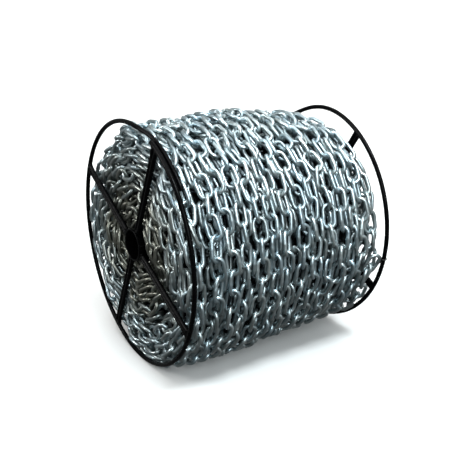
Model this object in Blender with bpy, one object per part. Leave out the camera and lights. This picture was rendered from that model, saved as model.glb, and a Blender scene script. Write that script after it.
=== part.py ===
"""Full reel of welded steel chain, wound on a wire reel that lies on its two rims.

Metres, +Z up. The reel's axle line runs along X. The origin is on the floor, under the middle
of the reel. Round the axle, an angle of 0 degrees points to -Y and 90 degrees points to +Z.
"""
import math

import bmesh
import bpy

# Driving dimensions of the wire reel
REEL_RADIUS = 0.150            # over the rim wire
REEL_WIDTH = 0.268             # between the planes of the two rims
RIM_WIRE = 0.0055              # wire diameters
SPOKE_WIRE = 0.0050
TIE_WIRE = 0.0016
HUB_RADIUS = 0.020
HUB_WALL = 0.002
HUB_OVERHANG = 0.0035          # the hub tube stands this far past each rim's plane
WELD_GAP = 0.0003              # left between pieces that are welded or lie on each other

# Places of the spokes round the axle, and the near rim's lapped joint
NEAR_SPOKES = (63.0, 153.0, 243.0, 334.0)
FAR_SPOKES = (55.0, 151.0, 235.0, 331.0)
SPOKE_PAIR_HALF = 0.0027       # half the distance between a spoke's two legs
SPOKE_FLARE = 0.0014           # how far each leg opens where it meets the rim
FLARE_LENGTH = 0.016
LEG_TILT = math.radians(10)    # of a leg's cut end
LAP_START_SEGMENT = 5
LAP_SEGMENTS = 7
LAP_BLEND_SEGMENTS = 3
LAP_SPREAD = 0.0027            # the free tail leans this much further in than where it starts

# The far rim has been knocked in at the back of its top
DENT_DEPTH = 0.0152
DENT_ANGLE = 115.0
DENT_SPREAD = 29.0

# The winding: welded links of 3/16 in wire, strand beside strand
LINK_WIRE = 0.0047
LINK_WIDTH = 0.0184
TURN_PITCH = LINK_WIDTH        # from strand to strand along the axle
LAYER_PITCH = 0.0089           # from layer to layer, seen on the ends
LAYER_DEPTH = 0.0070           # of the groove between two layers, seen on the ends
FLAT_DEPTH = (LINK_WIDTH - LINK_WIRE) / 2    # flat links lie this far below those on edge
# Section of one turn: share of its pitch, depth below the winding's outline
TURN_SECTION = (
    (0.00, 0.0115),            # groove between two turns
    (0.10, FLAT_DEPTH),        # links that lie flat
    (0.35, FLAT_DEPTH),
    (0.40, 0.0),               # links that stand on edge
    (0.60, 0.0),
    (0.65, FLAT_DEPTH),
    (0.90, FLAT_DEPTH),
)
WINDING_START = -0.1305
WINDING_END = 0.1300
# Outline of the full winding: place along the axle, radius over the links
WINDING_OUTLINE = (
    (-0.1305, 0.1375),
    (-0.1225, 0.1432),
    (-0.1050, 0.1475),
    (-0.0280, 0.1485),
    (0.0420, 0.1470),
    (0.0930, 0.1435),
    (0.1130, 0.1410),
    (0.1300, 0.1355),
)
TIE_WIRE_ANGLE = -11.0
TIE_WIRE_LANDING = 0.1225      # where along the axle the tie wire reaches the chain

# Fineness of the facets
RIM_SEGMENTS = 48
RIM_SIDES = 8
SPOKE_SIDES = 8
TIE_SIDES = 6
TURNED_SEGMENTS = 36
SHARP_ANGLE = math.radians(35)

# Sizes worked out from those above. A flat of the rim wire lies on the floor.
RIM_CENTRE_RADIUS = REEL_RADIUS - RIM_WIRE / 2
HALF_SEGMENT = math.pi / RIM_SEGMENTS
AXLE_HEIGHT = RIM_CENTRE_RADIUS * math.cos(HALF_SEGMENT) + RIM_WIRE / 2 * math.cos(math.pi / RIM_SIDES)


def clear_scene():
    for scene_object in list(bpy.data.objects):
        bpy.data.objects.remove(scene_object, do_unlink=True)


def finish(name, color, roughness, metallic):
    material = bpy.data.materials.new(name)
    material.use_nodes = True
    shader = material.node_tree.nodes["Principled BSDF"]
    shader.inputs["Base Color"].default_value = (*color, 1.0)
    shader.inputs["Roughness"].default_value = roughness
    shader.inputs["Metallic"].default_value = metallic
    return material


def black_paint(name):
    return finish(name, color=(0.012, 0.012, 0.013), roughness=0.38, metallic=0.0)


def empty(name, location, parent=None):
    frame = bpy.data.objects.new(name, None)
    frame.location = location
    frame.parent = parent
    bpy.context.scene.collection.objects.link(frame)
    return frame


def place(name, mesh, parent, turn=0.0):
    """A named object that shows the mesh, turned about the axle by an angle in degrees."""
    piece = bpy.data.objects.new(name, mesh)
    piece.parent = parent
    piece.rotation_euler = (math.radians(turn), 0.0, 0.0)
    bpy.context.scene.collection.objects.link(piece)
    return piece


def mesh_from(shape, name, material):
    """Turns a finished bmesh into a mesh with smooth round sides and sharp ends."""
    bmesh.ops.recalc_face_normals(shape, faces=shape.faces)
    mesh = bpy.data.meshes.new(name)
    shape.to_mesh(mesh)
    shape.free()
    mesh.materials.append(material)
    mesh.shade_smooth()
    mesh.set_sharp_from_angle(angle=SHARP_ANGLE)
    return mesh


def rim_point(along, radius, degrees):
    """A point beside the axle, given by its place along it, its radius and its angle."""
    angle = math.radians(degrees)
    return along, -radius * math.cos(angle), radius * math.sin(angle)


def spun(points, steps, name, material):
    """A solid of revolution about the axle, from a closed outline of points."""
    shape = bmesh.new()
    corners = [shape.verts.new(point) for point in points]
    edges = [shape.edges.new((corners[i - 1], corners[i])) for i in range(len(corners))]
    bmesh.ops.spin(
        shape,
        geom=corners + edges,
        cent=(0.0, 0.0, 0.0),
        axis=(1.0, 0.0, 0.0),
        angle=math.tau,
        steps=steps,
        use_merge=True,
    )
    return mesh_from(shape, name, material)


def turned(profile, name, material):
    """A solid of revolution from a closed outline of (along, radius) points."""
    points = [(along, -radius, 0.0) for along, radius in profile]
    return spun(points, TURNED_SEGMENTS, name, material)


def wire_section(station, radius, sides):
    """The corners of a wire's section at a station: its centre and the two axes across it."""
    centre, across, up = station
    corners = []
    for side in range(sides):
        angle = (side + 0.5) * math.tau / sides
        reach = [radius * (math.cos(angle) * a + math.sin(angle) * u) for a, u in zip(across, up)]
        corners.append([c + r for c, r in zip(centre, reach)])
    return corners


def wire(stations, radius, sides, name, material, closed=False):
    """A round wire that passes the stations, closed into a ring or with flat cut ends."""
    shape = bmesh.new()
    rings = []
    for station in stations:
        rings.append([shape.verts.new(corner) for corner in wire_section(station, radius, sides)])
    if closed:
        rings.append(rings[0])
    for ring, following in zip(rings, rings[1:]):
        for side in range(sides):
            after = (side + 1) % sides
            shape.faces.new((ring[side], ring[after], following[after], following[side]))
    if not closed:
        shape.faces.new(rings[0])
        shape.faces.new(list(reversed(rings[-1])))
    return mesh_from(shape, name, material)


def rim_station(segment, offset, dent=0.0):
    """Where the rim wire passes one corner of its polygon, moved along the axle by the offset."""
    degrees = (segment + 0.5) * 360.0 / RIM_SEGMENTS
    centre = rim_point(offset, RIM_CENTRE_RADIUS - dent, degrees)
    outward = rim_point(0.0, 1.0, degrees)
    return centre, outward, (1.0, 0.0, 0.0)


def lap_offset(segment):
    """How far the near rim's tail lies inside the rim's plane, from its free end to its joint."""
    touching = RIM_WIRE + WELD_GAP
    if segment <= LAP_SEGMENTS:
        return touching + LAP_SPREAD * (1.0 - segment / LAP_SEGMENTS)
    if segment >= LAP_SEGMENTS + LAP_BLEND_SEGMENTS:
        return 0.0
    return touching * (1.0 - (segment - LAP_SEGMENTS) / LAP_BLEND_SEGMENTS)


def near_rim_mesh():
    """One wire bent into a ring, whose tail laps behind its start."""
    stations = []
    for segment in range(RIM_SEGMENTS + LAP_SEGMENTS + 1):
        stations.append(rim_station(LAP_START_SEGMENT + segment, lap_offset(segment)))
    return wire(stations, RIM_WIRE / 2, RIM_SIDES, "near_rim", black_paint("near_rim_paint"))


def far_rim_dent(degrees):
    """How far the far rim is bent in towards the axle at an angle."""
    return DENT_DEPTH * math.exp(-((degrees - DENT_ANGLE) / DENT_SPREAD) ** 2)


def far_rim_mesh():
    """One wire bent into a ring and butt welded, with its dent."""
    stations = []
    for segment in range(RIM_SEGMENTS):
        dent = far_rim_dent((segment + 0.5) * 360.0 / RIM_SEGMENTS)
        stations.append(rim_station(segment, 0.0, dent))
    return wire(stations, RIM_WIRE / 2, RIM_SIDES, "far_rim", black_paint("far_rim_paint"), closed=True)


def spoke_leg(sign, dent):
    """One leg of a spoke from the rim down to the hub bend, as (sideways, radius) points."""
    rim_end = REEL_RADIUS - RIM_WIRE - WELD_GAP - SPOKE_WIRE / 2 * math.sin(LEG_TILT) - dent
    points = []
    for step in range(5):
        share = step / 4
        sideways = SPOKE_PAIR_HALF + SPOKE_FLARE * (1.0 - share) ** 2
        points.append((sign * sideways, rim_end - FLARE_LENGTH * share))
    return points


def spoke_mesh(dents):
    """A hairpin of wire: two legs that open at the rim and join in a round bend at the hub.

    The dents say how far in the rim lies at the first leg and at the second.
    """
    bend_centre = HUB_RADIUS + WELD_GAP + SPOKE_WIRE / 2 + SPOKE_PAIR_HALF
    path = spoke_leg(1, dents[0])
    bend_steps = 6
    for step in range(bend_steps + 1):
        angle = math.pi * step / bend_steps
        path.append((SPOKE_PAIR_HALF * math.cos(angle), bend_centre - SPOKE_PAIR_HALF * math.sin(angle)))
    path += reversed(spoke_leg(-1, dents[1]))

    stations = []
    for index, (sideways, radius) in enumerate(path):
        before = path[max(index - 1, 0)]
        after = path[min(index + 1, len(path) - 1)]
        run = (after[0] - before[0], after[1] - before[1])
        length = math.hypot(*run)
        across = (0.0, run[1] / length, -run[0] / length)
        stations.append(((0.0, sideways, radius), across, (1.0, 0.0, 0.0)))
    return wire(stations, SPOKE_WIRE / 2, SPOKE_SIDES, "spoke", black_paint("spoke_paint"))


def hub_tube_mesh():
    half_length = REEL_WIDTH / 2 + HUB_OVERHANG
    bore = HUB_RADIUS - HUB_WALL
    profile = [
        (-half_length, bore),
        (-half_length, HUB_RADIUS),
        (half_length, HUB_RADIUS),
        (half_length, bore),
    ]
    return turned(profile, "hub_tube", black_paint("hub_paint"))


def winding_radius(along):
    """Radius over the links of the winding, read off its outline."""
    for (start, first), (end, last) in zip(WINDING_OUTLINE, WINDING_OUTLINE[1:]):
        if along <= end:
            return first + (last - first) * max(along - start, 0.0) / (end - start)
    return WINDING_OUTLINE[-1][1]


def turn_ridges():
    """The winding's long side, with the ridge of each turn of the chain that shows."""
    turns = round((WINDING_END - WINDING_START) / TURN_PITCH)
    pitch = (WINDING_END - WINDING_START) / turns
    points = []
    for turn in range(turns):
        groove = WINDING_START + pitch * turn
        for share, depth in TURN_SECTION:
            along = groove + pitch * share
            points.append((along, winding_radius(along) - depth))
    points.append((WINDING_END, winding_radius(WINDING_END) - TURN_SECTION[0][1]))
    return points


def layer_ridges(face, inward, bore, rim_radius):
    """Ridges on one end of the winding from the hub out, one for each layer that shows."""
    layers = round((rim_radius - bore) / LAYER_PITCH)
    pitch = (rim_radius - bore) / layers
    points = []
    for layer in range(layers):
        points.append((face + inward * LAYER_DEPTH, bore + pitch * layer))
        points.append((face, bore + pitch * (layer + 0.5)))
    return points


def chain_winding_mesh():
    """The chain as one turned solid, with a ridge for each turn and, on its ends, each layer."""
    bore = HUB_RADIUS + WELD_GAP
    outside = turn_ridges()
    near_end = layer_ridges(WINDING_START, 1.0, bore, outside[0][1])
    far_end = layer_ridges(WINDING_END, -1.0, bore, outside[-1][1])
    profile = near_end + outside + far_end[::-1]
    zinc = finish("zinc_plate", color=(0.42, 0.46, 0.48), roughness=0.32, metallic=1.0)
    return turned(profile, "chain_winding", zinc)


def tie_wire_mesh():
    """A thin wire that ties the chain's last link to the far rim."""
    radius = TIE_WIRE / 2
    rim_side = REEL_RADIUS - RIM_WIRE - WELD_GAP - radius
    chain_side = winding_radius(TIE_WIRE_LANDING) + WELD_GAP + radius
    start = rim_point(REEL_WIDTH / 2, rim_side, TIE_WIRE_ANGLE)
    end = rim_point(TIE_WIRE_LANDING, chain_side, TIE_WIRE_ANGLE)
    slope = math.atan2(rim_side - chain_side, REEL_WIDTH / 2 - TIE_WIRE_LANDING)
    across = rim_point(-math.sin(slope), math.cos(slope), TIE_WIRE_ANGLE)
    sideways = rim_point(0.0, 1.0, TIE_WIRE_ANGLE + 90.0)
    stations = [(end, across, sideways), (start, across, sideways)]
    steel = finish("tie_wire_steel", color=(0.05, 0.05, 0.05), roughness=0.5, metallic=1.0)
    return wire(stations, radius, TIE_SIDES, "tie_wire", steel)


def dent_at_leg(angle, sign, dent_at):
    """The rim's deepest dent over the width of one leg's end."""
    middle = SPOKE_PAIR_HALF + SPOKE_FLARE
    sides = (middle - SPOKE_WIRE / 2, middle + SPOKE_WIRE / 2)
    return max(dent_at(angle + sign * math.degrees(side / RIM_CENTRE_RADIUS)) for side in sides)


def build_spokes(side, angles, flange, dent_at):
    """Spokes whose legs reach the rim, which lies in by dent_at(angle) where it is bent."""
    for number, angle in enumerate(angles, start=1):
        mesh = spoke_mesh([dent_at_leg(angle, sign, dent_at) for sign in (1, -1)])
        place(f"{side}_spoke_{number}", mesh, flange, turn=90.0 - angle)


def no_dent(degrees):
    return 0.0


def build():
    clear_scene()
    axle = empty("axle", (0.0, 0.0, AXLE_HEIGHT))
    near_flange = empty("near_flange", (-REEL_WIDTH / 2, 0.0, 0.0), axle)
    far_flange = empty("far_flange", (REEL_WIDTH / 2, 0.0, 0.0), axle)

    place("near_rim", near_rim_mesh(), near_flange)
    place("far_rim", far_rim_mesh(), far_flange)
    build_spokes("near", NEAR_SPOKES, near_flange, no_dent)
    build_spokes("far", FAR_SPOKES, far_flange, far_rim_dent)
    place("hub_tube", hub_tube_mesh(), axle)
    place("chain_winding", chain_winding_mesh(), axle)
    place("tie_wire", tie_wire_mesh(), axle)


build()
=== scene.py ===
"""Looks for the full reel of steel chain: its welded wire reel and every link that can be seen.

Metres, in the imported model's frame: +Z up, the axle along X, the near flange at -X. Round the
axle, an angle of 0 degrees points to -Y and 90 degrees points up.
"""
import math

import bmesh
import bpy
import numpy as np
from mathutils import Matrix, Vector, noise


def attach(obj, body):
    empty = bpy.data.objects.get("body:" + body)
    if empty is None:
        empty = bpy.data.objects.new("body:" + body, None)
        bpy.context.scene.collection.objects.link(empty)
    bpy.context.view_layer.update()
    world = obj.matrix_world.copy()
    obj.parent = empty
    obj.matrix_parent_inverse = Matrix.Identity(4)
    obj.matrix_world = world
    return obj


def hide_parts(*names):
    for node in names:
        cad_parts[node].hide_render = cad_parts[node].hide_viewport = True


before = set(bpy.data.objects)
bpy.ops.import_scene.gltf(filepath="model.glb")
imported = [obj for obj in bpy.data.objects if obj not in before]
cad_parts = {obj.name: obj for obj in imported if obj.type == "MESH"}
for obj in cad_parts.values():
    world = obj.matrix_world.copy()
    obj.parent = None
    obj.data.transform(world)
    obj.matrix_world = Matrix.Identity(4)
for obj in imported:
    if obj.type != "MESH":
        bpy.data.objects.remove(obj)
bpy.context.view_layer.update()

# Reel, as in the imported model
NEAR_X = -0.134                # planes of the two rims
FAR_X = 0.134
RIM_RADIUS = 0.14672           # centre line of the rim wire
RIM_WIRE = 0.0055
AXLE_HEIGHT = RIM_RADIUS + RIM_WIRE / 2
SPOKE_WIRE = 0.0050
SPOKE_HALF = 0.0027            # half the distance between a spoke's two legs
NEAR_FLARE = 0.0014            # how far each leg opens where it meets the rim
FAR_FLARE = 0.0003
FLARE_LENGTH = 0.016
HUB_RADIUS = 0.020
HUB_WALL = 0.002
HUB_END = 0.1375
HUB_EDGE = 0.0005              # bevel of the tube's cut ends
NEAR_SPOKES = (63.0, 153.0, 243.0, 334.0)
FAR_SPOKES = (55.0, 151.0, 235.0, 331.0)
TAIL_ANGLES = (40.0, 67.0, 84.0)         # the near rim's tail: free end, last touch, back in plane
TAIL_OFFSETS = (0.0062, 0.0057, 0.0)     # how far it lies inside the rim's plane there
DENT_DEPTH = 0.0152            # the far rim is bent in at the back of its top
DENT_ANGLE = 115.0
DENT_SPREAD = 29.0
CLEARANCE = 0.0001             # left between wires that lie on each other

# Weld beads: radii, and how far their centres lie inside the rim wire and outside the hub
NEAR_BEAD = 0.0024
FAR_BEAD = 0.0017
HUB_BEAD = 0.0026
RIM_BEAD_INSET = 0.0004
HUB_BEAD_OFFSET = 0.0006
BEAD_STRETCH = 0.8
BEAD_LUMPS = 0.22

# Name, plane, spokes, flare and bead of each flange
FLANGES = (
    ("near", NEAR_X, NEAR_SPOKES, NEAR_FLARE, NEAR_BEAD),
    ("far", FAR_X, FAR_SPOKES, FAR_FLARE, FAR_BEAD),
)

# Tie wire, from the far rim to the chain's last link
TIE_ANGLE = -11.0
TIE_RADIUS = 0.0006
TIE_LOOP_RISE = 0.0017         # how far its loop climbs along the rim in one turn
TIE_SAG = 0.0012

# Links of the chain
WIRE = 0.0047
LINK_WIDTH = 0.0184
PITCH = 0.0226
ARC_RADIUS = (LINK_WIDTH - WIRE) / 2
STRAIGHT = PITCH + 2 * WIRE - LINK_WIDTH
# A link's weld: places along its side, and how much thicker the wire is there
WELD_SWELLING = ((0.0030, 1.0), (0.0017, 1.10), (0.0, 1.15), (-0.0017, 1.10), (-0.0030, 1.0))
# How far out a link's wire may lie behind a spoke
FACE_LIMIT = FAR_X - (SPOKE_WIRE + WIRE) / 2 - CLEARANCE

# The winding, from the outer layer inwards
LAYERS = 13
OUTER_DEPTH = 0.0084           # from the outer layer's outline to its centre line
NESTED_DEPTHS = (0.0, 0.0076, 0.0164, 0.0252)    # the outer layers lie in each other's gaps
INNER_RADIUS = HUB_RADIUS + 0.0078               # centre line of the innermost layer
LAG = 0.45                     # how far, in turns, the middle of a layer lags behind even turns
SECOND_LAYER_LAG = 0.184       # puts its crossings of the outer layer at the top and bottom
OUTER_TURNS = 13.564           # the outer layer ends part of a turn after it reached the far flange
INNER_TURNS = 13.9
FIRST_X = -0.1235              # places of the end turns along the axle
LAST_X = 0.1225
NEAR_STEPS = (0.0055, 0.0028, 0.0, 0.0)      # how far the outer layers stop short of them
FAR_STEPS = (0.0050, 0.0090, -0.0010, 0.0050)
TURN_PITCH = (LAST_X - FIRST_X) / 13
CROSSING = 38.0 / 360.0        # part of a turn in which an end turn steps aside to the next
STEPPED_TURNS = 2.5            # how many turns from an end are stepped and not even
END_REACH = 1.6                # how many turns from an end the outer layers stop short
CHAIN_END_ANGLE = -14.0
FULL_LAYERS = 4                # layers whose links are all modelled
END_TURNS = 1.7                # deeper layers are modelled this many turns in from each end

# Outline over the links: places along the axle, with the radius at the front and back
SIDE_PLACES = (-0.130, -0.096, -0.024, 0.015, 0.130)
SIDE_RADII = (0.1478, 0.1482, 0.1474, 0.1465, 0.1460)
# the radius on top, which has slumped at the far end
TOP_PLACES = (
    -0.129, -0.105, -0.075, -0.050, -0.010, 0.010, 0.030, 0.050, 0.070, 0.093, 0.113, 0.130,
)
TOP_RADII = (
    0.1462, 0.1445, 0.1440, 0.1464, 0.1486, 0.1484, 0.1470, 0.1450, 0.1425, 0.1385, 0.1330, 0.1280,
)
# and how far the chain sags below the front
SAG_PLACES = (-0.130, -0.110, -0.070, -0.030, 0.010, 0.050, 0.090, 0.125)
SAG_DEPTHS = (0.0060, 0.0075, 0.0090, 0.0085, 0.0065, 0.0040, 0.0020, 0.0010)
TOP_START = 50.0               # degrees where the top begins, then its rise, length and fall
TOP_RISE = 38.0
TOP_LENGTH = 150.0
TOP_FALL = 50.0
SAG_ANGLE = -55.0
SAG_SPREAD = 30.0
FLOOR_GAP = 0.0006             # lowest links lie this far above the floor
LEAST_DOWNWARD = 0.2           # the floor counts where the outline points down more than this

# The notch at the near end's top
NOTCH_ANGLE = 127.0
NOTCH_SPREAD = 28.0
NOTCH_DEPTH = 0.0050
NOTCH_END = -0.098
NOTCH_BLEND = 0.020
NOTCH_STEP_SPREAD = 26.0
NOTCH_STEPS = (0.0125, 0.0095, 0.0055, 0.0)  # how much more the outer layers stop short there

# Bulge of the ends between the spokes
BULGE = 0.0040
LOW_BULGE = 0.0050             # how much more at the bottom
FAR_BULGE = 0.0030             # and inside this radius at the far end
FAR_BULGE_RADIUS = 0.142
FAR_BULGE_BLEND = 0.024
BULGE_SHARE = 0.9              # how much of it the route takes up
SPOKE_ROOM = 0.009             # no bulge this close to a spoke's middle
SPOKE_BLEND = 0.014
SPOKE_SIGHT = 1.2              # radians within which a spoke counts

# Unevenness of the chain
SEED = 11
WANDER_LINKS = 2               # links over which the route drifts
WANDER_ALONG = 0.0021
WANDER_OUT = 0.0015
ROLL_LINKS = 6                 # links over which the roll drifts
ROLL_DRIFT = math.radians(29)
ROLL_SCATTER = math.radians(9)

# Settling
SETTLING_STEPS = 130
PAIRS_EVERY = 6                # steps between two searches for close pairs
PAIR_REACH = 0.0335            # centres of links that can touch are closer than this
PAIR_MARGIN = 0.003
PAIR_BLOCK = 4000              # pairs worked on at once
HOOK_SLACK = 0.0004
LEAST_ROLL_COSINE = 0.5        # hooked links are rolled at least 60 degrees from each other
HOME_PULL = 0.03
MOST_TURN = 0.1                # radians in one step
CROWN_PUSH = 0.7               # share of the way back inside the outline in one step
TAIL_MARGIN = 4.0              # degrees past the tail's free end that links keep clear of

# Core behind the links that can be seen
CORE_HALF = 0.0865
CORE_RADIUS = 0.0960
CORE_GAP = 0.0003              # between core and hub

# Colours, how links differ, and the painted shade on them
BRIGHT_ZINC = (0.505, 0.575, 0.59)
DARK_ZINC = (0.32, 0.41, 0.455)
WORN_ZINC = (0.25, 0.27, 0.25)
# painted shade: links near the axle are mixed towards this olive dark
HUB_SHADE_ZINC = (0.16, 0.155, 0.12)
# painted shade: links deep in the winding are mixed towards this near black
DEEP_SHADE_ZINC = (0.018, 0.022, 0.025)
HUB_SHADE_RADIUS = 0.122            # olive-tinted painted shade darkens links from here to the axle
HUB_SHADE_BLEND = 0.072
HUB_SHADE_SCATTER = 0.15
MOST_HUB_SHADE = 0.85
DEEP_SHADE_DEPTH = 0.005           # painted shade darkens links from this depth on
DEEP_SHADE_BLEND = 0.014
SHARP_EDGE = math.radians(40)  # edges sharper than this aren't shaded smooth

# Camera, fitted to the two rims in the photograph
CAMERA_PLACE = (-0.4657, -0.7522, 0.4544)
CAMERA_AZIMUTH = math.radians(32.36)
CAMERA_TILT = math.radians(-19.97)
FOCAL_PIXELS = 727.0
IMAGE_PIXELS = 474.0
SENSOR_WIDTH = 36.0

# Floor and backdrop
FLOOR_FRONT = -3.0
FLOOR_BACK = 2.2
FLOOR_HALF_WIDTH = 4.5
SWEEP_RADIUS = 1.5
BACKDROP_HEIGHT = 4.0
LIGHT_TARGET = (0.0, 0.0, 0.15)
COOL_LIGHT = (0.88, 0.96, 1.0)


def smooth_step(value):
    value = np.clip(value, 0.0, 1.0)
    return value * value * (3.0 - 2.0 * value)


def round_axle(along, radius, angle):
    """Points from their place along the axle, radius and angle in radians."""
    return np.stack([
        along + np.zeros_like(angle),
        -radius * np.cos(angle),
        AXLE_HEIGHT + radius * np.sin(angle),
    ], -1)


def turned_from(angle, degrees):
    """How far an angle in radians is turned from one in degrees, in degrees from -180 to 180."""
    return (np.degrees(angle) - degrees + 180.0) % 360.0 - 180.0


# The route of the chain

def full_radius(along, angle):
    """Radius over the links of the outer layer, with its slump, sag and notch."""
    side = np.interp(along, SIDE_PLACES, SIDE_RADII)
    top = np.interp(along, TOP_PLACES, TOP_RADII)
    from_front = turned_from(angle, TOP_START)
    on_top = smooth_step(from_front / TOP_RISE) * smooth_step((TOP_LENGTH - from_front) / TOP_FALL)
    sag = np.interp(along, SAG_PLACES, SAG_DEPTHS)
    sag = sag * np.exp(-(turned_from(angle, SAG_ANGLE) / SAG_SPREAD) ** 2)
    radius = side + (top - side) * on_top + sag
    notch = smooth_step(1.0 - np.abs(turned_from(angle, NOTCH_ANGLE)) / NOTCH_SPREAD)
    radius = radius - NOTCH_DEPTH * notch * smooth_step((NOTCH_END - along) / NOTCH_BLEND)
    downward = np.maximum(-np.sin(angle), LEAST_DOWNWARD)
    return np.minimum(radius, (AXLE_HEIGHT - FLOOR_GAP) / downward)


def layer_radius(along, angle, depth):
    """Radius of a layer's centre line, for its depth counted in layers from the outer one."""
    outer = full_radius(along, angle) - OUTER_DEPTH
    nested = outer - np.interp(depth, range(len(NESTED_DEPTHS)), NESTED_DEPTHS)
    left = np.clip((LAYERS - 1 - depth) / (LAYERS - len(NESTED_DEPTHS)), 0.0, 1.0)
    return INNER_RADIUS + (nested - INNER_RADIUS) * left


def bulge(sign, angle, radius):
    """How far links may come out between the spokes of a flange, -1 near or 1 far."""
    aside = np.full(np.shape(angle), 1.0)
    for spoke in NEAR_SPOKES if sign < 0 else FAR_SPOKES:
        off = (angle - math.radians(spoke) + math.pi) % math.tau - math.pi
        distance = np.where(np.abs(off) < SPOKE_SIGHT, np.abs(radius * np.sin(off)), 1.0)
        aside = np.minimum(aside, distance)
    low = 0.5 - 0.5 * np.sin(angle)
    reach = BULGE + LOW_BULGE * low
    if sign > 0:
        reach = reach + FAR_BULGE * smooth_step((FAR_BULGE_RADIUS - radius) / FAR_BULGE_BLEND)
    return reach * smooth_step((aside - SPOKE_ROOM) / SPOKE_BLEND)


def turn_place(left, lag):
    """Which turn of its layer the chain is in, counted from the flange that is left turns away."""
    stepped = math.floor(left) + float(smooth_step((left % 1.0 - 1.0 + CROSSING) / CROSSING))
    even = left - lag
    near_end = float(smooth_step(STEPPED_TURNS - min(left, OUTER_TURNS - left)))
    return even + (stepped - even) * near_end


def chain_route():
    """Walks the chain from its free end inwards: along, angle, radius and layer of each link."""
    angle = math.radians(CHAIN_END_ANGLE)
    walked = 0.0
    layer = 0
    route = []
    while layer < LAYERS:
        turns = INNER_TURNS if layer else OUTER_TURNS
        lag = SECOND_LAYER_LAG if layer == 1 else LAG
        along = FIRST_X + TURN_PITCH * turn_place(turns - walked, lag)
        if layer % 2:
            along = FIRST_X + LAST_X - along
        above = 1.0 - float(smooth_step(walked / CROSSING)) if layer else 0.0
        radius = float(layer_radius(along, angle, layer - above))
        route.append((along, angle, radius, layer))
        angle -= PITCH / radius
        walked += PITCH / radius / math.tau
        if walked >= turns:
            walked -= turns
            layer += 1
    route = np.array(route)
    for layer in range(1, LAYERS):
        nest_layer(route, layer)
    shape_ends(route)
    return route


def nest_layer(route, layer):
    """Draws a layer's turns into the gaps between the turns of the layer outside it."""
    walk = np.unwrap(route[:, 1])
    above = np.nonzero(route[:, 3] == layer - 1)[0]
    above_walk = walk[above][::-1]
    above_along = route[above, 0][::-1]
    for link in np.nonzero(route[:, 3] == layer)[0]:
        first = walk[link] + math.tau * np.ceil((above_walk[0] - walk[link]) / math.tau)
        walks = np.arange(first, above_walk[-1], math.tau)
        turns = np.sort(np.interp(walks, above_walk, above_along))
        place = np.searchsorted(turns, route[link, 0])
        if 0 < place < len(turns):
            low = turns[place - 1]
            high = turns[place]
            share = 2.0 * (route[link, 0] - low) / max(high - low, 0.001) - 1.0
            route[link, 0] = (low + high) / 2 + (high - low) / 2 * share * abs(share) ** 2


def shape_ends(route):
    """Bulges the end turns between the spokes, and lets the outer layers stop short of them."""
    for sign, end in ((-1, FIRST_X), (1, LAST_X)):
        closeness = smooth_step(1.0 - np.abs(route[:, 0] - end) / TURN_PITCH)
        route[:, 0] += sign * BULGE_SHARE * closeness * bulge(sign, route[:, 1], route[:, 2])
    for sign, end, steps in ((-1, FIRST_X, NEAR_STEPS), (1, LAST_X, FAR_STEPS)):
        beside = smooth_step(END_REACH - np.abs(route[:, 0] - end) / TURN_PITCH)
        route[:, 0] -= sign * beside * np.interp(route[:, 3], range(4), steps)
        if sign < 0:
            from_notch = np.abs(turned_from(route[:, 1], NOTCH_ANGLE))
            notch = smooth_step(1.0 - from_notch / NOTCH_STEP_SPREAD)
            route[:, 0] += notch * beside * np.interp(route[:, 3], range(4), NOTCH_STEPS)


def wander(random, count, reach):
    """Random numbers that drift smoothly over about reach links."""
    kernel = np.exp(-0.5 * (np.arange(-3 * reach, 3 * reach + 1) / reach) ** 2)
    kernel /= math.sqrt((kernel ** 2).sum())
    return np.convolve(random.normal(0, 1, count + 6 * reach), kernel, "valid")[:count]


def place_links(route, random):
    """Centres of the links, and their axes as columns: along the chain, across the link, normal."""
    count = len(route)
    along = route[:, 0] + WANDER_ALONG * wander(random, count, WANDER_LINKS)
    radius = route[:, 2] + WANDER_OUT * wander(random, count, WANDER_LINKS)
    angle = route[:, 1]
    drift = ROLL_DRIFT * wander(random, count, ROLL_LINKS)
    roll = drift + ROLL_SCATTER * random.normal(0, 1, count)
    roll += math.pi / 2 * (np.arange(count) % 2)
    centres = round_axle(along, radius, angle)
    forward = np.gradient(centres, axis=0)
    forward /= np.linalg.norm(forward, axis=1)[:, None]
    outward = outward_at(angle)
    outward -= (outward * forward).sum(1)[:, None] * forward
    outward /= np.linalg.norm(outward, axis=1)[:, None]
    side = np.cross(forward, outward)
    across = side * np.cos(roll)[:, None] + outward * np.sin(roll)[:, None]
    return centres, np.stack([forward, across, np.cross(forward, across)], 2)


def outward_at(angle):
    """Directions away from the axle at angles in radians."""
    return round_axle(0.0, 1.0, angle) - (0.0, 0.0, AXLE_HEIGHT)


def shown(route):
    """Which links can be seen from outside: the outer layers and the ends of the others."""
    from_end = np.minimum(route[:, 0] - FIRST_X, LAST_X - route[:, 0])
    return (route[:, 3] < FULL_LAYERS) | (from_end < END_TURNS * TURN_PITCH)


# Settling the links against each other

def link_balls():
    """Points along a link's centre line, about one wire's width apart."""
    points = []
    for end in (1, -1):
        for step in range(5):
            angle = math.radians(45 * step - 90)
            along = STRAIGHT / 2 + ARC_RADIUS * math.cos(angle)
            points.append((end * along, end * ARC_RADIUS * math.sin(angle), 0))
        for third in (1, -1):
            points.append((end * third * STRAIGHT / 6, end * ARC_RADIUS, 0))
    return np.array(points)


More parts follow.
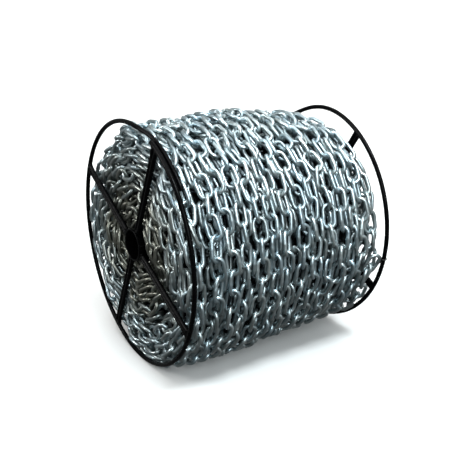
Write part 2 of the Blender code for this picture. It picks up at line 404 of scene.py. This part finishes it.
class Settling:
    """Rigid links that push each other apart, hang together and keep clear of the reel."""

    def __init__(self, centres, axes, order):
        self.centres = centres
        self.axes = axes
        self.order = order
        self.home = centres.copy()
        self.balls = link_balls()
        self.count = len(centres)
        spread = (self.balls ** 2).mean(0)
        self.ease = 1.0 / (spread.sum() - spread)
        self.linked = np.nonzero(np.diff(order) == 1)[0]
        self.clear()

    def clear(self):
        self.shift = np.zeros((self.count, 3))
        self.turn = np.zeros((self.count, 3))
        self.hits = np.zeros(self.count)

    def ball_places(self):
        return self.centres[:, None, :] + np.einsum("nij,kj->nki", self.axes, self.balls)

    def close_pairs(self):
        """Pairs of links, not hooked into each other, whose wires come near."""
        by_x = np.argsort(self.centres[:, 0], kind="stable")
        xs = self.centres[by_x, 0]
        stops = np.searchsorted(xs, xs + PAIR_REACH)
        first = []
        second = []
        for place in range(self.count):
            others = by_x[place + 1:stops[place]]
            apart = self.centres[others] - self.centres[by_x[place]]
            others = others[(apart ** 2).sum(1) < PAIR_REACH * PAIR_REACH]
            first.append(np.full(len(others), by_x[place]))
            second.append(others)
        first = np.concatenate(first)
        second = np.concatenate(second)
        low = np.minimum(first, second)
        high = np.maximum(first, second)
        free = self.order[high] - self.order[low] != 1
        low = low[free]
        high = high[free]
        balls = (self.ball_places() - self.centres.mean(0)).astype(np.float32)
        near = np.zeros(len(low), bool)
        for start in range(0, len(low), PAIR_BLOCK):
            part = slice(start, start + PAIR_BLOCK)
            gaps = self.squared_gaps(balls, low[part], high[part])
            near[part] = gaps.reshape(len(gaps), -1).min(1) < (WIRE + PAIR_MARGIN) ** 2
        return low[near], high[near]

    @staticmethod
    def squared_gaps(balls, first, second):
        apart = balls[first][:, :, None, :] - balls[second][:, None, :, :]
        return np.einsum("mijk,mijk->mij", apart, apart)

    def push(self, link, arm, way, depth, other=None, other_arm=None):
        """Moves a link along way by its share of depth, and the other link the opposite way."""
        twist = np.einsum("nji,nj->ni", self.axes[link], np.cross(arm, way))
        give = 1.0 + (twist ** 2 * self.ease).sum(1)
        if other is not None:
            other_twist = np.einsum("nji,nj->ni", self.axes[other], np.cross(other_arm, -way))
            give = give + 1.0 + (other_twist ** 2 * self.ease).sum(1)
        amount = (depth / give)[:, None]
        turned = np.einsum("nij,nj->ni", self.axes[link], twist * self.ease)
        self.add(link, amount * way, amount * turned)
        if other is not None:
            turned = np.einsum("nij,nj->ni", self.axes[other], other_twist * self.ease)
            self.add(other, -amount * way, amount * turned)

    def add(self, link, shift, turn):
        for axis in range(3):
            self.shift[:, axis] += np.bincount(link, shift[:, axis], self.count)
            self.turn[:, axis] += np.bincount(link, turn[:, axis], self.count)
        self.hits += np.bincount(link, minlength=self.count)

    def move(self):
        """Applies the gathered pushes, eased where a link was pushed often, and a pull home."""
        part = (1.0 / np.sqrt(np.maximum(self.hits, 1)))[:, None]
        self.centres += self.shift * part
        spin = self.turn * part
        angle = np.linalg.norm(spin, axis=1)
        x, y, z = (spin / np.maximum(angle, 1e-12)[:, None]).T
        angle = np.minimum(angle, MOST_TURN)[:, None, None]
        none = np.zeros(self.count)
        cross = np.stack([none, -z, y, z, none, -x, -y, x, none], 1).reshape(-1, 3, 3)
        rotate = np.eye(3) + np.sin(angle) * cross + (1.0 - np.cos(angle)) * (cross @ cross)
        self.axes = rotate @ self.axes
        self.centres += HOME_PULL * (self.home - self.centres)
        self.clear()

    def part_links(self, first, second):
        """Pushes apart the wires of close pairs where they overlap."""
        balls = self.ball_places()
        light = (balls - self.centres.mean(0)).astype(np.float32)
        for start in range(0, len(first), PAIR_BLOCK):
            a = first[start:start + PAIR_BLOCK]
            b = second[start:start + PAIR_BLOCK]
            pair, i, j = np.nonzero(self.squared_gaps(light, a, b) < WIRE ** 2)
            link = a[pair]
            other = b[pair]
            apart = balls[link, i] - balls[other, j]
            distance = np.maximum(np.linalg.norm(apart, axis=1), 1e-7)
            arm = balls[link, i] - self.centres[link]
            other_arm = balls[other, j] - self.centres[other]
            way = apart / distance[:, None]
            self.push(link, arm, way, WIRE - distance, other, other_arm)

    def hook_links(self):
        """Holds hooked links end to end, and keeps them rolled away from each other."""
        a = self.linked
        b = self.linked + 1
        arm = self.axes[a][:, :, 0] * PITCH / 2
        other_arm = self.axes[b][:, :, 0] * -PITCH / 2
        apart = self.centres[b] + other_arm - self.centres[a] - arm
        distance = np.linalg.norm(apart, axis=1)
        far = distance > HOOK_SLACK
        way = apart[far] / distance[far][:, None]
        self.push(a[far], arm[far], way, distance[far] - HOOK_SLACK, b[far], other_arm[far])
        across = self.axes[a][:, :, 1]
        other_across = self.axes[b][:, :, 1]
        same = (across * other_across).sum(1)
        over = np.sign(same) * np.maximum(np.abs(same) - LEAST_ROLL_COSINE, 0.0)
        turn = 0.5 * over[:, None] * np.cross(across, other_across)
        for axis in range(3):
            self.turn[:, axis] += np.bincount(b, turn[:, axis], self.count)
            self.turn[:, axis] -= np.bincount(a, turn[:, axis], self.count)

    def keep_out(self, balls, depth, way):
        """Pushes links along way where one of their balls is this deep in something."""
        link, ball = np.nonzero(depth > 0)
        if len(link):
            arm = balls[link, ball] - self.centres[link]
            self.push(link, arm, way[link, ball], depth[link, ball])

    def clear_reel(self):
        """Keeps the links inside the flanges, bulging between the spokes, and off rims and hub."""
        balls = self.ball_places()
        along = balls[:, :, 0]
        angle = np.arctan2(balls[:, :, 2] - AXLE_HEIGHT, -balls[:, :, 1])
        radius = np.hypot(balls[:, :, 1], balls[:, :, 2] - AXLE_HEIGHT)
        degrees = np.degrees(angle)
        outward = outward_at(angle)
        for sign in (-1, 1):
            limit = FACE_LIMIT + bulge(sign, angle, radius)
            way = np.zeros(balls.shape)
            way[:, :, 0] = -sign
            self.keep_out(balls, sign * along - limit, way)
            ring = RIM_RADIUS if sign < 0 else far_rim_radius(degrees)
            self.clear_ring(balls, radius - ring, outward, np.full(angle.shape, sign * FAR_X))
        tail = NEAR_X + np.interp(degrees, TAIL_ANGLES, TAIL_OFFSETS)
        beside = (degrees > TAIL_ANGLES[0] - TAIL_MARGIN) & (degrees < TAIL_ANGLES[2])
        self.clear_ring(balls, radius - RIM_RADIUS, outward, tail, beside)
        top = full_radius(along, angle) - WIRE / 2
        self.keep_out(balls, CROWN_PUSH * (radius - top), -outward)
        self.keep_out(balls, HUB_RADIUS + WIRE / 2 - radius, outward)

    def clear_ring(self, balls, above, outward, place, where=True):
        """Keeps links off a ring of rim wire at a place along the axle, with balls so far above."""
        aside = balls[:, :, 0] - place
        distance = np.maximum(np.hypot(aside, above), 1e-6)
        way = outward * (above / distance)[:, :, None]
        way[:, :, 0] = aside / distance
        depth = (RIM_WIRE + WIRE) / 2 + CLEARANCE - distance
        self.keep_out(balls, np.where(where, depth, -1.0), way)

    def run(self, steps):
        for step in range(steps):
            if step % PAIRS_EVERY == 0:
                first, second = self.close_pairs()
            self.part_links(first, second)
            self.hook_links()
            self.clear_reel()
            self.move()


# Meshes

def link_template(sides, arc_steps, weld=True):
    """One link as a swept ring of quads, with the bulge of its weld at the middle of one side."""
    stations = []
    for step in range(arc_steps + 1):
        angle = math.pi * step / arc_steps - math.pi / 2
        along = STRAIGHT / 2 + ARC_RADIUS * math.cos(angle)
        stations.append((along, ARC_RADIUS * math.sin(angle), angle, 1.0))
    if weld:
        for place, swell in WELD_SWELLING:
            stations.append((place, ARC_RADIUS, math.pi / 2, swell))
    for step in range(arc_steps + 1):
        angle = math.pi * step / arc_steps + math.pi / 2
        along = ARC_RADIUS * math.cos(angle) - STRAIGHT / 2
        stations.append((along, ARC_RADIUS * math.sin(angle), angle, 1.0))
    points = []
    for x, y, angle, swell in stations:
        radius = WIRE / 2 * swell
        for side in range(sides):
            turn = math.tau * side / sides
            out = radius * math.cos(turn)
            height = radius * math.sin(turn)
            points.append((x + out * math.cos(angle), y + out * math.sin(angle), height))
    faces = []
    for station in range(len(stations)):
        start = station * sides
        following = (station + 1) % len(stations) * sides
        for side in range(sides):
            after = (side + 1) % sides
            faces.append((start + side, following + side, following + after, start + after))
    return np.array(points), np.array(faces)


def new_object(name, mesh, material, replaced=()):
    mesh.materials.append(material)
    mesh.shade_smooth()
    piece = bpy.data.objects.new(name, mesh)
    bpy.context.scene.collection.objects.link(piece)
    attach(piece, "root")
    if replaced:
        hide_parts(*replaced)
    return piece


def links_mesh(name, centres, axes, looks, template):
    """One mesh with a copy of the template for each link, which carries the link's own looks."""
    points, faces = template
    places = centres[:, None, :] + np.einsum("nij,kj->nki", axes, points)
    first_corner = np.arange(len(centres))[:, None, None] * len(points)
    corners = (faces[None] + first_corner).reshape(-1, 4)
    mesh = bpy.data.meshes.new(name)
    mesh.from_pydata(places.reshape(-1, 3).tolist(), [], corners.tolist())
    for attribute, values in looks.items():
        layer = mesh.attributes.new(attribute, "FLOAT", "POINT")
        layer.data.foreach_set("value", np.repeat(values, len(points)).astype(np.float32))
    return mesh


def tube_mesh(name, stations, wire_radius, sides, normal=(1.0, 0.0, 0.0), closed=False):
    """A round wire through the stations. Its ends are rounded over unless it is closed."""
    path = np.array(stations, float)
    if closed:
        forward = np.roll(path, -1, 0) - np.roll(path, 1, 0)
    else:
        forward = np.gradient(path, axis=0)
    forward /= np.linalg.norm(forward, axis=1)[:, None]
    across = np.array(normal) - (forward @ np.array(normal))[:, None] * forward
    across /= np.linalg.norm(across, axis=1)[:, None]
    up = np.cross(forward, across)
    turns = np.arange(sides) * math.tau / sides
    level = across[:, None] * np.cos(turns)[None, :, None]
    around = level + up[:, None] * np.sin(turns)[None, :, None]
    rings = path[:, None] + wire_radius * around
    if not closed:
        rings = round_ends(rings, path, forward, wire_radius)
    count = len(rings)
    faces = []
    for ring in range(count if closed else count - 1):
        start = ring * sides
        following = (ring + 1) % count * sides
        for side in range(sides):
            after = (side + 1) % sides
            faces.append((start + side, start + after, following + after, following + side))
    if not closed:
        faces.append(tuple(range(sides))[::-1])
        faces.append(tuple((count - 1) * sides + side for side in range(sides)))
    mesh = bpy.data.meshes.new(name)
    mesh.from_pydata(rings.reshape(-1, 3).tolist(), [], faces)
    return mesh


def round_ends(rings, path, forward, wire_radius):
    """Adds a cut end with a small rounded edge to both ends of a swept wire."""
    edge = 0.15
    first = []
    last = []
    for place, way, end in ((0, -1.0, first), (-1, 1.0, last)):
        out = way * forward[place] * wire_radius * edge
        centre = path[place]
        ring = rings[place]
        end.append(centre + (ring - centre) * (1 - edge * 0.3) + out * 0.7)
        end.append(centre + (ring - centre) * (1 - edge) + out)
    return np.concatenate([np.array(first[::-1]), rings, np.array(last)])


def turned_mesh(name, outline, steps):
    """A solid of revolution about the axle from a closed outline of (along, radius) points."""
    angles = np.arange(steps) * math.tau / steps
    rings = [round_axle(np.full(steps, along), radius, angles) for along, radius in outline]
    faces = []
    for index in range(len(outline)):
        start = index * steps
        following = (index + 1) % len(outline) * steps
        for step in range(steps):
            after = (step + 1) % steps
            faces.append((start + step, start + after, following + after, following + step))
    mesh = bpy.data.meshes.new(name)
    mesh.from_pydata(np.concatenate(rings).tolist(), [], faces)
    return mesh


# Materials

def material_nodes(name):
    material = bpy.data.materials.new(name)
    material.use_nodes = True
    nodes = material.node_tree.nodes
    return material, nodes, material.node_tree.links, nodes["Principled BSDF"]


def noise_node(nodes, links, scale, detail=3.0):
    place = nodes.new("ShaderNodeTexCoord")
    texture = nodes.new("ShaderNodeTexNoise")
    texture.inputs["Scale"].default_value = scale
    texture.inputs["Detail"].default_value = detail
    links.new(place.outputs["Object"], texture.inputs["Vector"])
    return texture.outputs["Fac"]


def ranged(nodes, links, source, low, high, from_low=0.3, from_high=0.7):
    """The source's values, spread from one range to another."""
    spread = nodes.new("ShaderNodeMapRange")
    spread.inputs["From Min"].default_value = from_low
    spread.inputs["From Max"].default_value = from_high
    spread.inputs["To Min"].default_value = low
    spread.inputs["To Max"].default_value = high
    links.new(source, spread.inputs["Value"])
    return spread.outputs["Result"]


def mixed(nodes, links, share, first, second):
    """A mix of two colours, each a tuple or another node's output."""
    mix = nodes.new("ShaderNodeMix")
    mix.data_type = "RGBA"
    links.new(share, mix.inputs["Factor"])
    for name, colour in (("A", first), ("B", second)):
        if isinstance(colour, tuple):
            mix.inputs[name].default_value = (*colour, 1.0)
        else:
            links.new(colour, mix.inputs[name])
    return mix.outputs["Result"]


def bumped(nodes, links, shader, height, strength, distance):
    bump = nodes.new("ShaderNodeBump")
    bump.inputs["Strength"].default_value = strength
    bump.inputs["Distance"].default_value = distance
    links.new(height, bump.inputs["Height"])
    links.new(bump.outputs["Normal"], shader.inputs["Normal"])


def attribute_node(nodes, name):
    attribute = nodes.new("ShaderNodeAttribute")
    attribute.attribute_name = name
    return attribute.outputs["Fac"]


def zinc_material():
    """Zinc plate: every link a little different, with darker worn patches and a fine orange peel,
    and painted shade towards the axle and deep in the winding.
    """
    material, nodes, links, shader = material_nodes("zinc_plate")
    base = mixed(nodes, links, attribute_node(nodes, "tone"), BRIGHT_ZINC, DARK_ZINC)
    patches = ranged(nodes, links, noise_node(nodes, links, 70.0), 0.0, 0.6)
    worn = mixed(nodes, links, patches, base, WORN_ZINC)
    # painted shade: links near the axle are darkened towards olive
    with_hub_shade = mixed(nodes, links, attribute_node(nodes, "hub_shade"), worn, HUB_SHADE_ZINC)
    # painted shade: links deep in the winding are darkened to near black
    colour = mixed(nodes, links, attribute_node(nodes, "deep_shade"), with_hub_shade, DEEP_SHADE_ZINC)
    links.new(colour, shader.inputs["Base Color"])
    shader.inputs["Metallic"].default_value = 1.0
    rough = ranged(nodes, links, noise_node(nodes, links, 260.0), 0.28, 0.46)
    links.new(rough, shader.inputs["Roughness"])
    bumped(nodes, links, shader, noise_node(nodes, links, 520.0, 2.0), 0.25, 0.0004)
    return material


def paint_material():
    """Black dip paint on wire: glossy, slightly uneven, with greyer thin spots."""
    material, nodes, links, shader = material_nodes("black_paint")
    thin = ranged(nodes, links, noise_node(nodes, links, 180.0), 0.0, 1.0, 0.60, 0.72)
    colour = mixed(nodes, links, thin, (0.0006, 0.0006, 0.0007), (0.003, 0.003, 0.003))
    links.new(colour, shader.inputs["Base Color"])
    rough = ranged(nodes, links, noise_node(nodes, links, 120.0), 0.18, 0.30)
    links.new(rough, shader.inputs["Roughness"])
    shader.inputs["Specular IOR Level"].default_value = 0.04
    bumped(nodes, links, shader, noise_node(nodes, links, 340.0), 0.3, 0.0003)
    return material


def core_shade_material():
    """Painted shade: the inside of the winding behind the links that can be seen, near black for
    the shade there.
    """
    material, nodes, links, shader = material_nodes("winding_core")
    patches = noise_node(nodes, links, 150.0)
    # painted shade: near black for the shade inside the winding
    colour = mixed(nodes, links, patches, (0.008, 0.010, 0.012), (0.03, 0.034, 0.036))
    links.new(colour, shader.inputs["Base Color"])
    shader.inputs["Metallic"].default_value = 0.6
    shader.inputs["Roughness"].default_value = 0.6
    bumped(nodes, links, shader, noise_node(nodes, links, 110.0), 0.8, 0.004)
    return material


def tie_material():
    """Dark annealed binding wire."""
    material, nodes, links, shader = material_nodes("tie_wire_steel")
    patches = noise_node(nodes, links, 300.0)
    colour = mixed(nodes, links, patches, (0.02, 0.02, 0.02), (0.09, 0.08, 0.075))
    links.new(colour, shader.inputs["Base Color"])
    shader.inputs["Metallic"].default_value = 1.0
    shader.inputs["Roughness"].default_value = 0.5
    bumped(nodes, links, shader, noise_node(nodes, links, 600.0), 0.3, 0.0002)
    return material


def floor_material():
    material, nodes, links, shader = material_nodes("pale_floor")
    patches = noise_node(nodes, links, 3.0)
    colour = mixed(nodes, links, patches, (0.60, 0.594, 0.582), (0.63, 0.624, 0.612))
    links.new(colour, shader.inputs["Base Color"])
    shader.inputs["Roughness"].default_value = 0.9
    return material


# The winding

def link_looks(centres, random):
    """Each link's tone, its painted shade near the axle, and its painted shade deep in the winding.
    """
    tones = random.random(len(centres))
    radius = np.hypot(centres[:, 1], centres[:, 2] - AXLE_HEIGHT)
    angle = np.arctan2(centres[:, 2] - AXLE_HEIGHT, -centres[:, 1])
    scatter = HUB_SHADE_SCATTER * random.normal(0, 1, len(centres))
    # painted shade towards the axle, with a random scatter from link to link
    hub_shaded = np.clip((HUB_SHADE_RADIUS - radius) / HUB_SHADE_BLEND + scatter, 0.0, MOST_HUB_SHADE)
    below = full_radius(centres[:, 0], angle) - OUTER_DEPTH - radius
    inside_ends = np.minimum(centres[:, 0] - FIRST_X, LAST_X - centres[:, 0])
    depth = np.minimum(below, inside_ends)
    # painted shade, by depth below the outline or in from the ends
    deep_shade = np.clip((depth - DEEP_SHADE_DEPTH) / DEEP_SHADE_BLEND, 0.0, 1.0)
    return {"tone": tones, "hub_shade": hub_shaded, "deep_shade": deep_shade}


def link_groups(route):
    """The winding's pieces: name, which links of the route it has, and their template."""
    along = route[:, 0]
    layer = route[:, 3]
    end_length = END_TURNS * TURN_PITCH
    inside = (along > FIRST_X + end_length) & (along < LAST_X - end_length)
    deep_end = (layer > 3) | ((layer == 3) & ~inside)
    fine = link_template(12, 7)
    middle = link_template(10, 6)
    coarse = link_template(6, 5, weld=False)
    return (
        ("chain_outer_near_half", (layer == 0) & (along < 0), fine),
        ("chain_outer_far_half", (layer == 0) & (along >= 0), fine),
        ("chain_second_layer", layer == 1, middle),
        ("chain_third_layer", layer == 2, coarse),
        ("chain_fourth_layer", (layer == 3) & inside, coarse),
        ("chain_near_end_turns", deep_end & (along < 0), middle),
        ("chain_far_end_turns", deep_end & (along >= 0), middle),
    )


def make_chain():
    """Lays out the whole chain, settles the links that can be seen and models them."""
    random = np.random.default_rng(SEED)
    route = chain_route()
    centres, axes = place_links(route, random)
    kept = np.nonzero(shown(route))[0]
    settling = Settling(centres[kept], axes[kept], kept)
    settling.run(SETTLING_STEPS)
    looks = link_looks(settling.centres, random)
    zinc = zinc_material()
    for name, chosen, template in link_groups(route[kept]):
        own = {look: values[chosen] for look, values in looks.items()}
        mesh = links_mesh(name, settling.centres[chosen], settling.axes[chosen], own, template)
        new_object(name, mesh, zinc, ("chain_winding",))
    return settling


def make_core():
    """A plain core, coloured with painted shade, that fills the inside, where no link can be seen.
    """
    bore = HUB_RADIUS + CORE_GAP
    outline = (
        (-CORE_HALF, bore), (-CORE_HALF, CORE_RADIUS),
        (CORE_HALF, CORE_RADIUS), (CORE_HALF, bore),
    )
    mesh = turned_mesh("winding_core", outline, 96)
    core = new_object("winding_core", mesh, core_shade_material(), ("chain_winding",))
    core.data.set_sharp_from_angle(angle=SHARP_EDGE)


# The reel

def make_near_rim(paint):
    """One wire bent into a ring, whose tail laps behind its start."""
    first, touch, back = TAIL_ANGLES
    degrees = np.linspace(first, 360.0 + touch, 240)
    offsets = np.interp(degrees, TAIL_ANGLES, TAIL_OFFSETS)
    eased = (degrees > touch) & (degrees < back)
    share = smooth_step((degrees[eased] - touch) / (back - touch))
    offsets[eased] = TAIL_OFFSETS[1] * (1.0 - share)
    points = round_axle(NEAR_X + offsets, RIM_RADIUS, np.radians(degrees))
    mesh = tube_mesh("near_rim_wire", points, RIM_WIRE / 2, 16)
    new_object("near_rim_wire", mesh, paint, ("near_rim",))


def far_rim_radius(degrees):
    """Centre line of the far rim, which is bent in at the back of its top."""
    from_dent = turned_from(np.radians(degrees), DENT_ANGLE)
    return RIM_RADIUS - DENT_DEPTH * np.exp(-(from_dent / DENT_SPREAD) ** 2)


def make_far_rim(paint):
    degrees = np.arange(200) * 1.8
    points = round_axle(FAR_X, far_rim_radius(degrees), np.radians(degrees))
    mesh = tube_mesh("far_rim_wire", points, RIM_WIRE / 2, 16, closed=True)
    new_object("far_rim_wire", mesh, paint, ("far_rim",))


def reel_directions(along, degrees):
    """A point of the axle, and the directions outward and sideways at an angle round it."""
    angle = math.radians(degrees)
    centre = np.array([along, 0.0, AXLE_HEIGHT])
    out = np.array([0.0, -math.cos(angle), math.sin(angle)])
    side = np.array([0.0, math.sin(angle), math.cos(angle)])
    return centre, out, side


def rim_radius_at(along, degrees):
    return far_rim_radius(degrees) if along > 0 else RIM_RADIUS


def spoke_path(rim_radius, flare):
    """A spoke's hairpin as (sideways, radius) points, down one leg, round the hub bend and back."""
    rim_end = rim_radius - RIM_WIRE / 2 - SPOKE_WIRE * 0.25
    bend_centre = HUB_RADIUS + SPOKE_WIRE / 2 + SPOKE_HALF
    leg = []
    for share in np.linspace(0.0, 1.0, 12):
        leg.append((SPOKE_HALF + flare * (1.0 - share) ** 2, rim_end - FLARE_LENGTH * share))
    for radius in np.linspace(rim_end - FLARE_LENGTH, bend_centre, 8)[1:-1]:
        leg.append((SPOKE_HALF, radius))
    bend = []
    for angle in np.linspace(0.0, math.pi, 13):
        bend.append((SPOKE_HALF * math.cos(angle), bend_centre - SPOKE_HALF * math.sin(angle)))
    back = [(-sideways, radius) for sideways, radius in reversed(leg)]
    return leg + bend + back


def make_spoke(name, along, degrees, flare, paint):
    centre, out, side = reel_directions(along, degrees)
    points = []
    for sideways, radius in spoke_path(rim_radius_at(along, degrees), flare):
        points.append(centre + side * sideways + out * radius)
    mesh = tube_mesh(f"{name}_wire", points, SPOKE_WIRE / 2, 14)
    new_object(f"{name}_wire", mesh, paint, (name,))


def make_spokes(paint):
    for flange, along, spokes, flare, _ in FLANGES:
        for number, degrees in enumerate(spokes, start=1):
            make_spoke(f"{flange}_spoke_{number}", along, degrees, flare, paint)


def weld_bead(name, centre, size, stretch, paint, seed):
    """A small lump of weld metal, longer along the stretch direction."""
    shape = bmesh.new()
    bmesh.ops.create_icosphere(shape, subdivisions=2, radius=size)
    along = Vector(stretch).normalized()
    for corner in shape.verts:
        part = corner.co.dot(along)
        corner.co += along * part * BEAD_STRETCH
        lump = noise.noise(corner.co / size * 1.1 + Vector((seed, 0.0, 0.0)))
        corner.co *= 1.0 + BEAD_LUMPS * lump
        corner.co += Vector(centre)
    mesh = bpy.data.meshes.new(name)
    shape.to_mesh(mesh)
    shape.free()
    new_object(name, mesh, paint)


def make_welds(paint):
    """Beads where each spoke's legs meet the rim and where its bend meets the hub."""
    for flange, along, spokes, flare, bead in FLANGES:
        for number, degrees in enumerate(spokes, start=1):
            centre, out, side = reel_directions(along, degrees)
            rim_meeting = rim_radius_at(along, degrees) - RIM_WIRE / 2 - RIM_BEAD_INSET
            for leg, sign in (("a", 1), ("b", -1)):
                name = f"{flange}_rim_weld_{number}{leg}"
                place = centre + out * rim_meeting + side * sign * (SPOKE_HALF + flare)
                weld_bead(name, place, bead, side, paint, number + sign * 0.3)
            name = f"{flange}_hub_weld_{number}"
            place = centre + out * (HUB_RADIUS + HUB_BEAD_OFFSET)
            weld_bead(name, place, HUB_BEAD, side, paint, number + 9.0)


def make_hub(paint):
    bore = HUB_RADIUS - HUB_WALL
    outline = (
        (-HUB_END, bore + HUB_EDGE), (-HUB_END, HUB_RADIUS - HUB_EDGE),
        (-HUB_END + HUB_EDGE, HUB_RADIUS), (HUB_END - HUB_EDGE, HUB_RADIUS),
        (HUB_END, HUB_RADIUS - HUB_EDGE), (HUB_END, bore + HUB_EDGE),
        (HUB_END - HUB_EDGE, bore), (-HUB_END + HUB_EDGE, bore),
    )
    mesh = turned_mesh("hub_pipe", outline, 64)
    hub = new_object("hub_pipe", mesh, paint, ("hub_tube",))
    hub.data.set_sharp_from_angle(angle=SHARP_EDGE)


def make_tie(settling):
    """Thin wire: a loop round the far rim, a short run, and a hook round the chain's last link."""
    axle_point, out, side = reel_directions(FAR_X, TIE_ANGLE)
    axle = np.array([1.0, 0.0, 0.0])
    centre = axle_point + out * RIM_RADIUS
    reach = RIM_WIRE / 2 + TIE_RADIUS + CLEARANCE
    points = []
    for step in range(25):
        turn = math.tau * step / 24 + math.pi / 2
        climb = side * TIE_LOOP_RISE * step / 24
        points.append(centre + reach * (out * math.cos(turn) + axle * math.sin(turn)) + climb)
    run_start = points[-1]
    last_link = settling.ball_places()[0]
    nearest = last_link[np.argmax(last_link[:, 0])]
    reach = WIRE / 2 + TIE_RADIUS + CLEARANCE
    way = nearest - run_start
    way /= np.linalg.norm(way)
    lift = out - (out @ way) * way
    lift /= np.linalg.norm(lift)
    hook = []
    for step in range(21):
        turn = math.pi * 1.5 * step / 20
        hook.append(nearest + reach * (lift * math.cos(turn) + way * math.sin(turn)))
    for share in (0.25, 0.5, 0.75):
        sag = lift * TIE_SAG * math.sin(math.pi * share)
        points.append(run_start + (hook[0] - run_start) * share + sag)
    mesh = tube_mesh("tie_wire_loop", points + hook, TIE_RADIUS, 8, normal=side)
    new_object("tie_wire_loop", mesh, tie_material(), ("tie_wire",))


# Studio

def make_floor():
    """A pale floor that curves up into a backdrop behind the reel, and isn't seen in the zinc."""
    outline = [(FLOOR_FRONT, 0.0), (FLOOR_BACK, 0.0)]
    for angle in np.linspace(0.0, math.pi / 2, 12)[1:]:
        back = FLOOR_BACK + SWEEP_RADIUS * math.sin(angle)
        outline.append((back, SWEEP_RADIUS - SWEEP_RADIUS * math.cos(angle)))
    outline.append((FLOOR_BACK + SWEEP_RADIUS, BACKDROP_HEIGHT))
    points = []
    for back, height in outline:
        for side in (-FLOOR_HALF_WIDTH, FLOOR_HALF_WIDTH):
            points.append((side, back, height))
    faces = []
    for index in range(len(outline) - 1):
        faces.append((2 * index, 2 * index + 1, 2 * index + 3, 2 * index + 2))
    mesh = bpy.data.meshes.new("floor")
    mesh.from_pydata(points, [], faces)
    mesh.materials.append(floor_material())
    mesh.shade_smooth()
    floor = bpy.data.objects.new("floor", mesh)
    floor.rotation_euler = (0.0, 0.0, -CAMERA_AZIMUTH)
    floor.visible_glossy = False
    bpy.context.scene.collection.objects.link(floor)


def make_camera():
    data = bpy.data.cameras.new("camera")
    data.sensor_width = SENSOR_WIDTH
    data.lens = SENSOR_WIDTH * FOCAL_PIXELS / IMAGE_PIXELS
    data.clip_start = 0.01
    camera = bpy.data.objects.new("camera", data)
    camera.location = CAMERA_PLACE
    camera.rotation_euler = (math.pi / 2 + CAMERA_TILT, 0.0, -CAMERA_AZIMUTH)
    bpy.context.scene.collection.objects.link(camera)
    bpy.context.scene.camera = camera


def area_light(name, place, size, power, target=LIGHT_TARGET, colour=(1.0, 1.0, 1.0)):
    data = bpy.data.lights.new(name, "AREA")
    data.shape = "RECTANGLE"
    data.size, data.size_y = size
    data.energy = power
    data.color = colour
    light = bpy.data.objects.new(name, data)
    light.location = place
    light.rotation_euler = (Vector(target) - Vector(place)).to_track_quat("-Z", "Y").to_euler()
    bpy.context.scene.collection.objects.link(light)


def make_studio():
    area_light("sky", (0.2, 0.2, 2.4), (2.4, 2.4), 32.0, colour=COOL_LIGHT)
    area_light("key", (0.1, -0.9, 2.0), (0.5, 0.5), 54.0, colour=COOL_LIGHT)
    area_light("left_key", (-0.9, -0.1, 2.1), (0.7, 0.7), 13.0)
    area_light("left_back", (-1.8, 0.9, 1.1), (0.6, 0.6), 24.0)
    area_light("front", (-0.6, -2.0, 1.3), (1.4, 1.4), 44.0, colour=COOL_LIGHT)
    backdrop = Matrix.Rotation(-CAMERA_AZIMUTH, 3, "Z")
    for number, side in enumerate((-1.4, 0.0, 1.4), start=1):
        place = backdrop @ Vector((side, 1.6, 2.6))
        target = backdrop @ Vector((side, 3.6, 0.9))
        area_light(f"backdrop_{number}", place, (1.2, 0.4), 50.0, target)
    bpy.context.scene.world = studio_world()
    bpy.context.scene.view_settings.view_transform = "Standard"


def studio_world():
    """A room that is bright overhead, dark below and dimmer on the near flange's side."""
    world = bpy.data.worlds.new("studio")
    world.use_nodes = True
    nodes = world.node_tree.nodes
    links = world.node_tree.links
    background = nodes["Background"]
    place = nodes.new("ShaderNodeTexCoord")
    split = nodes.new("ShaderNodeSeparateXYZ")
    links.new(place.outputs["Generated"], split.inputs["Vector"])
    height = ranged(nodes, links, split.outputs["Z"], 0.0, 1.0, -1.0, 1.0)
    ramp = nodes.new("ShaderNodeValToRGB")
    stops = ramp.color_ramp.elements
    stops[0].color = (0.12, 0.12, 0.12, 1.0)
    stops[1].color = (0.74, 0.77, 0.77, 1.0)
    stops.new(0.5).color = (0.58, 0.61, 0.61, 1.0)
    links.new(height, ramp.inputs["Fac"])
    links.new(ramp.outputs["Color"], background.inputs["Color"])
    side = ranged(nodes, links, split.outputs["X"], 0.32, 0.98, -1.0, 1.0)
    links.new(side, background.inputs["Strength"])
    return world


def build():
    paint = paint_material()
    settling = make_chain()
    make_core()
    make_near_rim(paint)
    make_far_rim(paint)
    make_spokes(paint)
    make_welds(paint)
    make_hub(paint)
    make_tie(settling)
    make_floor()
    make_camera()
    make_studio()


build()
